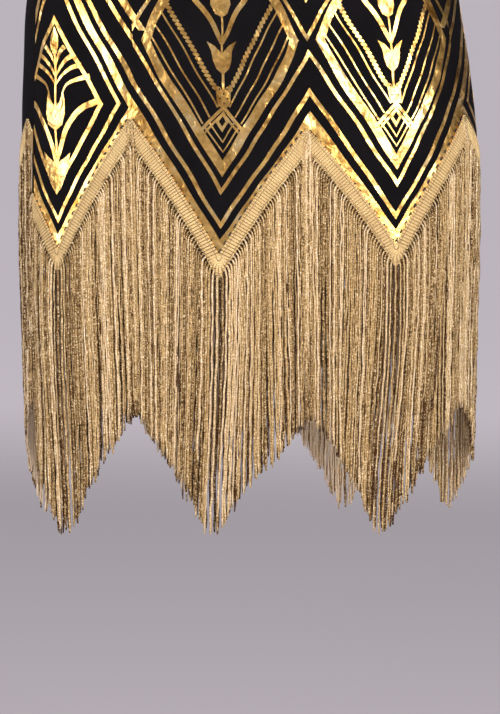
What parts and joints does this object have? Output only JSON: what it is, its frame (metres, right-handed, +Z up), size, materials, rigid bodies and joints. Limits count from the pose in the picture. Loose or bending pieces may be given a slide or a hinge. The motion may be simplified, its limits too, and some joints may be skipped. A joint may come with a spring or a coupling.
{
  "type": "fringed flapper dress",
  "caption": "Sleeveless straight stretch dress, worn, with a foil-printed front, a zigzag hem and long metallic fringe hanging from a braid.",
  "frame": {"origin": "between the two shoulders, at the height where the straps rest on the wearer, who holds the dress up", "axes": "+Z up, front of the dress towards -Y, the wearer's left towards +X"},
  "size_m": [0.421, 0.224, 0.9011],
  "materials": {
    "printed_knit": "matt black stretch knit with bright gold foil print",
    "black_knit": "matt black stretch knit",
    "gold_braid": "braided metallic thread, satin",
    "gold_fringe": "twisted metallic thread, sparkling"
  },
  "bodies": {
    "root": {"front_panel": "printed_knit", "back_panel": "black_knit", "neck_binding": "black_knit", "armhole_binding_left": "black_knit", "armhole_binding_right": "black_knit", "fringe_heading_front": "gold_braid", "fringe_heading_back": "gold_braid", "fringe_front": "gold_fringe", "fringe_back": "gold_fringe"}
  },
  "joints": []
}
